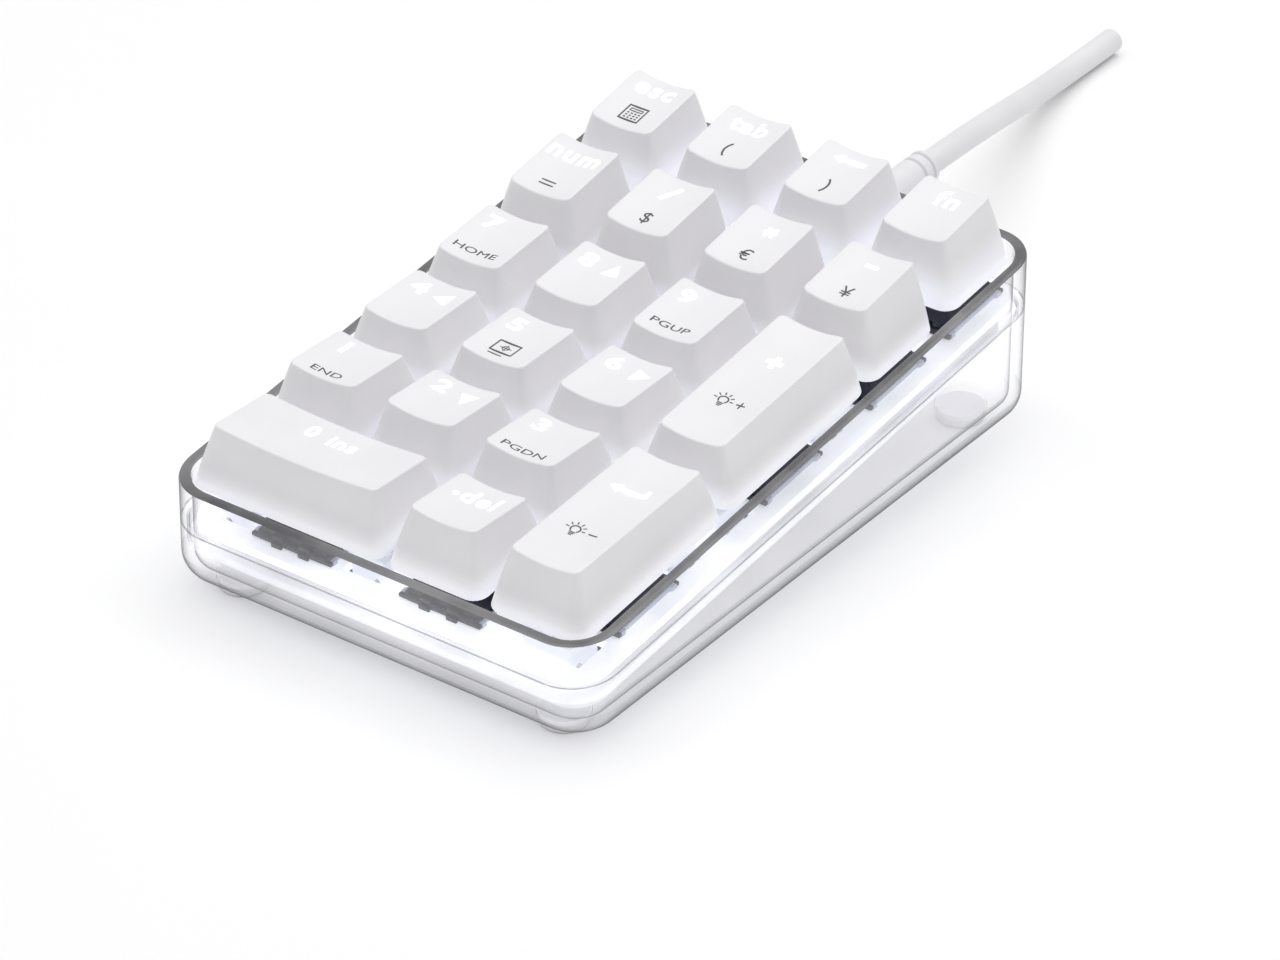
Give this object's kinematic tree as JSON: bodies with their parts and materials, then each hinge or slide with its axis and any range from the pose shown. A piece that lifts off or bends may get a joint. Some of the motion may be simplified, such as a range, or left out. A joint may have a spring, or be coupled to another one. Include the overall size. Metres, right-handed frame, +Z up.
{
  "type": "numeric keypad",
  "caption": "Wedge-shaped desk keypad: a clear case with a sloping seam, sculpted white push keys over a switch plate, wire stabilisers under the long keys, and a cable at the back.",
  "frame": {"origin": "on the table under the middle of the case", "axes": "+X to the user's right, +Y to the rear where the cable leaves, +Z up"},
  "size_m": [0.082, 0.2315, 0.0417],
  "materials": {
    "clear_plastic": "polished",
    "white_keycap": "satin",
    "switch_stem": "satin",
    "white_plate": "satin",
    "circuit_board": "satin",
    "steel": "brushed",
    "cable_grey": "matte",
    "foot_rubber": "matte"
  },
  "bodies": {
    "housing": {"bottom_case": "clear_plastic", "top_frame": "clear_plastic", "switch_plate": "white_plate", "circuit_board": "circuit_board", "cable": "cable_grey", "cable_boot": "cable_grey", "case_screw_rear_left": "steel", "case_screw_rear_right": "steel", "case_screw_front_left": "steel", "case_screw_front_right": "steel", "rubber_foot_rear_left": "foot_rubber", "rubber_foot_rear_right": "foot_rubber", "rubber_foot_front_left": "foot_rubber", "rubber_foot_front_right": "foot_rubber"},
    "key_escape": {"keycap_escape": "white_keycap", "switch_stem_escape": "switch_stem"},
    "key_tab": {"keycap_tab": "white_keycap", "switch_stem_tab": "switch_stem"},
    "key_backspace": {"keycap_backspace": "white_keycap", "switch_stem_backspace": "switch_stem"},
    "key_function": {"keycap_function": "white_keycap", "switch_stem_function": "switch_stem"},
    "key_num_lock": {"keycap_num_lock": "white_keycap", "switch_stem_num_lock": "switch_stem"},
    "key_divide": {"keycap_divide": "white_keycap", "switch_stem_divide": "switch_stem"},
    "key_multiply": {"keycap_multiply": "white_keycap", "switch_stem_multiply": "switch_stem"},
    "key_minus": {"keycap_minus": "white_keycap", "switch_stem_minus": "switch_stem"},
    "key_7": {"keycap_7": "white_keycap", "switch_stem_7": "switch_stem"},
    "key_8": {"keycap_8": "white_keycap", "switch_stem_8": "switch_stem"},
    "key_9": {"keycap_9": "white_keycap", "switch_stem_9": "switch_stem"},
    "key_plus": {"keycap_plus": "white_keycap", "switch_stem_plus": "switch_stem"},
    "key_4": {"keycap_4": "white_keycap", "switch_stem_4": "switch_stem"},
    "key_5": {"keycap_5": "white_keycap", "switch_stem_5": "switch_stem"},
    "key_6": {"keycap_6": "white_keycap", "switch_stem_6": "switch_stem"},
    "key_1": {"keycap_1": "white_keycap", "switch_stem_1": "switch_stem"},
    "key_2": {"keycap_2": "white_keycap", "switch_stem_2": "switch_stem"},
    "key_3": {"keycap_3": "white_keycap", "switch_stem_3": "switch_stem"},
    "key_enter": {"keycap_enter": "white_keycap", "switch_stem_enter": "switch_stem"},
    "key_0": {"keycap_0": "white_keycap", "switch_stem_0": "switch_stem"},
    "key_decimal": {"keycap_decimal": "white_keycap", "switch_stem_decimal": "switch_stem"},
    "wire_0": {"stabiliser_wire_0": "steel"},
    "wire_plus": {"stabiliser_wire_plus": "steel"},
    "wire_enter": {"stabiliser_wire_enter": "steel"}
  },
  "joints": [
    {"name": "key_slide_escape", "type": "slide", "parent": "housing", "child": "key_escape", "axis": [0, 0.1031, -0.9947], "range_m": [0, 0.004], "stiffness_N_per_m": 75, "springref_m": -0.004},
    {"name": "key_slide_tab", "type": "slide", "parent": "housing", "child": "key_tab", "axis": [0, 0.1031, -0.9947], "range_m": [0, 0.004], "stiffness_N_per_m": 75, "springref_m": -0.004},
    {"name": "key_slide_backspace", "type": "slide", "parent": "housing", "child": "key_backspace", "axis": [0, 0.1031, -0.9947], "range_m": [0, 0.004], "stiffness_N_per_m": 75, "springref_m": -0.004},
    {"name": "key_slide_function", "type": "slide", "parent": "housing", "child": "key_function", "axis": [0, 0.1031, -0.9947], "range_m": [0, 0.004], "stiffness_N_per_m": 75, "springref_m": -0.004},
    {"name": "key_slide_num_lock", "type": "slide", "parent": "housing", "child": "key_num_lock", "axis": [0, 0.1031, -0.9947], "range_m": [0, 0.004], "stiffness_N_per_m": 75, "springref_m": -0.004},
    {"name": "key_slide_divide", "type": "slide", "parent": "housing", "child": "key_divide", "axis": [0, 0.1031, -0.9947], "range_m": [0, 0.004], "stiffness_N_per_m": 75, "springref_m": -0.004},
    {"name": "key_slide_multiply", "type": "slide", "parent": "housing", "child": "key_multiply", "axis": [0, 0.1031, -0.9947], "range_m": [0, 0.004], "stiffness_N_per_m": 75, "springref_m": -0.004},
    {"name": "key_slide_minus", "type": "slide", "parent": "housing", "child": "key_minus", "axis": [0, 0.1031, -0.9947], "range_m": [0, 0.004], "stiffness_N_per_m": 75, "springref_m": -0.004},
    {"name": "key_slide_7", "type": "slide", "parent": "housing", "child": "key_7", "axis": [0, 0.1031, -0.9947], "range_m": [0, 0.004], "stiffness_N_per_m": 75, "springref_m": -0.004},
    {"name": "key_slide_8", "type": "slide", "parent": "housing", "child": "key_8", "axis": [0, 0.1031, -0.9947], "range_m": [0, 0.004], "stiffness_N_per_m": 75, "springref_m": -0.004},
    {"name": "key_slide_9", "type": "slide", "parent": "housing", "child": "key_9", "axis": [0, 0.1031, -0.9947], "range_m": [0, 0.004], "stiffness_N_per_m": 75, "springref_m": -0.004},
    {"name": "key_slide_plus", "type": "slide", "parent": "housing", "child": "key_plus", "axis": [0, 0.1031, -0.9947], "range_m": [0, 0.004], "stiffness_N_per_m": 75, "springref_m": -0.004},
    {"name": "key_slide_4", "type": "slide", "parent": "housing", "child": "key_4", "axis": [0, 0.1031, -0.9947], "range_m": [0, 0.004], "stiffness_N_per_m": 75, "springref_m": -0.004},
    {"name": "key_slide_5", "type": "slide", "parent": "housing", "child": "key_5", "axis": [0, 0.1031, -0.9947], "range_m": [0, 0.004], "stiffness_N_per_m": 75, "springref_m": -0.004},
    {"name": "key_slide_6", "type": "slide", "parent": "housing", "child": "key_6", "axis": [0, 0.1031, -0.9947], "range_m": [0, 0.004], "stiffness_N_per_m": 75, "springref_m": -0.004},
    {"name": "key_slide_1", "type": "slide", "parent": "housing", "child": "key_1", "axis": [0, 0.1031, -0.9947], "range_m": [0, 0.004], "stiffness_N_per_m": 75, "springref_m": -0.004},
    {"name": "key_slide_2", "type": "slide", "parent": "housing", "child": "key_2", "axis": [0, 0.1031, -0.9947], "range_m": [0, 0.004], "stiffness_N_per_m": 75, "springref_m": -0.004},
    {"name": "key_slide_3", "type": "slide", "parent": "housing", "child": "key_3", "axis": [0, 0.1031, -0.9947], "range_m": [0, 0.004], "stiffness_N_per_m": 75, "springref_m": -0.004},
    {"name": "key_slide_enter", "type": "slide", "parent": "housing", "child": "key_enter", "axis": [0, 0.1031, -0.9947], "range_m": [0, 0.004], "stiffness_N_per_m": 75, "springref_m": -0.004},
    {"name": "key_slide_0", "type": "slide", "parent": "housing", "child": "key_0", "axis": [0, 0.1031, -0.9947], "range_m": [0, 0.004], "stiffness_N_per_m": 75, "springref_m": -0.004},
    {"name": "key_slide_decimal", "type": "slide", "parent": "housing", "child": "key_decimal", "axis": [0, 0.1031, -0.9947], "range_m": [0, 0.004], "stiffness_N_per_m": 75, "springref_m": -0.004},
    {"name": "wire_hinge_0", "type": "hinge", "parent": "housing", "child": "wire_0", "pos_m": [-0.01905, -0.05591, 0.00837], "axis": [-1, 0, 0], "range_deg": [0, 27.5]},
    {"name": "wire_hinge_plus", "type": "hinge", "parent": "housing", "child": "wire_plus", "pos_m": [0.03633, -0.00083, 0.01408], "axis": [0, -0.9947, -0.1031], "range_deg": [0, 27.5]},
    {"name": "wire_hinge_enter", "type": "hinge", "parent": "housing", "child": "wire_enter", "pos_m": [0.03633, -0.03872, 0.01015], "axis": [0, -0.9947, -0.1031], "range_deg": [0, 27.5]}
  ],
  "couplings": [
    {"joint": "wire_hinge_0", "follows": "key_slide_0", "rad_per_m": 119.4},
    {"joint": "wire_hinge_plus", "follows": "key_slide_plus", "rad_per_m": 119.4},
    {"joint": "wire_hinge_enter", "follows": "key_slide_enter", "rad_per_m": 119.4}
  ]
}
